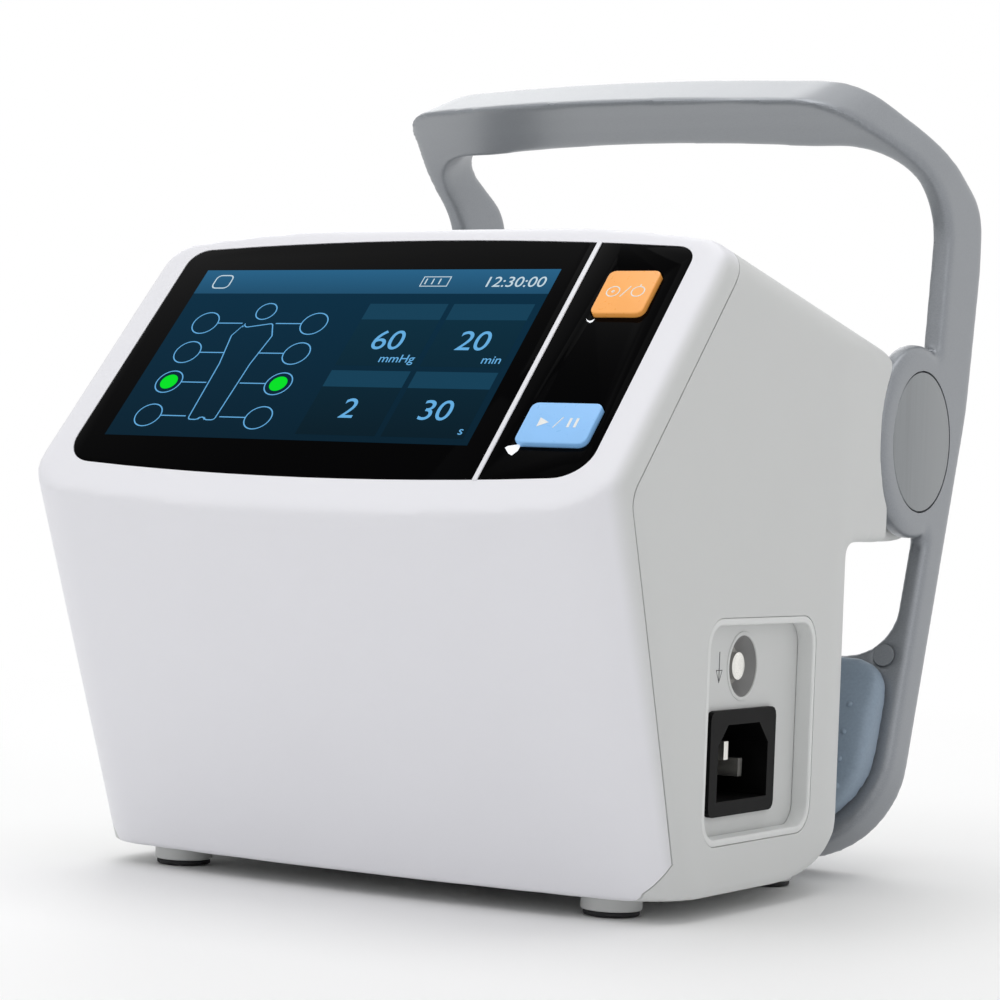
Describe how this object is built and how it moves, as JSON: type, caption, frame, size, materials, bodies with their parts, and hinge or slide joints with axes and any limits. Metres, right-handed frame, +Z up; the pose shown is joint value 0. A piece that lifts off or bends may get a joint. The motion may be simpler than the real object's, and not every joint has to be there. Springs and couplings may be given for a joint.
{
  "type": "compression therapy pump",
  "caption": "Wedge-shaped table-top air compression therapy pump with a sloping colour screen, two large keys, a mains inlet and a swing handle that hooks on a bed rail",
  "frame": {"origin": "under the middle of the whole object, on the floor that the feet stand on", "axes": "+X to the pump's right as its user faces the screen, +Y to its back, +Z up"},
  "size_m": [0.1525, 0.1979, 0.1924],
  "materials": {
    "white_shell": "fine satin moulded plastic, white",
    "grey_shell": "fine satin moulded plastic, warm light grey",
    "black_glass": "gloss black front panel with the display behind it",
    "orange_key": "translucent orange key",
    "blue_key": "translucent light blue key",
    "light_guide": "clear plastic light guide",
    "board": "circuit board with solder mask",
    "dark_plastic": "dark moulded plastic",
    "black_plastic": "black moulded plastic",
    "battery_wrap": "blue shrink wrap",
    "silver_paint": "fine silver paint on a die-cast frame",
    "cap_metal": "brushed metal disc",
    "pad_rubber": "soft blue-grey pad",
    "foot_rubber": "black rubber",
    "steel": "plain steel",
    "plated": "bright nickel plating",
    "bush": "sintered bronze",
    "alloy": "cast aluminium",
    "hose": "soft clear silicone tube",
    "light_plastic": "natural nylon"
  },
  "bodies": {
    "housing": {"front_shell": "white_shell", "rear_shell": "grey_shell", "housing_screws": "steel", "display_glass": "black_glass", "key_plate": "black_glass", "display_module": "dark_plastic", "display_bracket": "steel", "key_board": "board", "power_light": "light_guide", "run_light": "light_guide", "main_board": "board", "power_supply": "board", "battery_pack": "battery_wrap", "air_pump": "alloy", "pump_cradle": "foot_rubber", "valve_block": "light_plastic", "pump_hose": "hose", "outlet_hoses": "hose", "air_outlet_front": "dark_plastic", "air_outlet_rear": "dark_plastic", "speaker": "dark_plastic", "mains_inlet": "black_plastic", "inlet_pins": "plated", "earth_stud": "plated", "earth_nut": "steel", "foot_front_left": "foot_rubber", "foot_front_right": "foot_rubber", "foot_rear_left": "foot_rubber", "foot_rear_right": "foot_rubber", "pivot_bush_left": "bush", "pivot_bush_right": "bush", "pivot_spring_left": "steel", "pivot_spring_right": "steel"},
    "handle": {"handle_frame": "silver_paint", "clamp_pad": "pad_rubber", "frame_plugs": "silver_paint", "hub_cap_left": "cap_metal", "hub_cap_right": "cap_metal", "pivot_pin_left": "steel", "pivot_pin_right": "steel", "pivot_collar_left": "steel", "pivot_collar_right": "steel"},
    "power_key": {"power_button": "orange_key"},
    "start_key": {"start_button": "blue_key"}
  },
  "joints": [
    {"name": "handle_hinge", "type": "hinge", "parent": "housing", "child": "handle", "pos_m": [0, 0.065, 0.1047], "axis": [1, 0, 0], "range_deg": [0, 35], "stiffness_Nm_per_rad": 0.6, "springref_deg": -28.65},
    {"name": "power_press", "type": "slide", "parent": "housing", "child": "power_key", "axis": [0, 0.739, -0.6737], "range_m": [0, 0.0006], "stiffness_N_per_m": 800},
    {"name": "start_press", "type": "slide", "parent": "housing", "child": "start_key", "axis": [0, 0.739, -0.6737], "range_m": [0, 0.0006], "stiffness_N_per_m": 800}
  ]
}
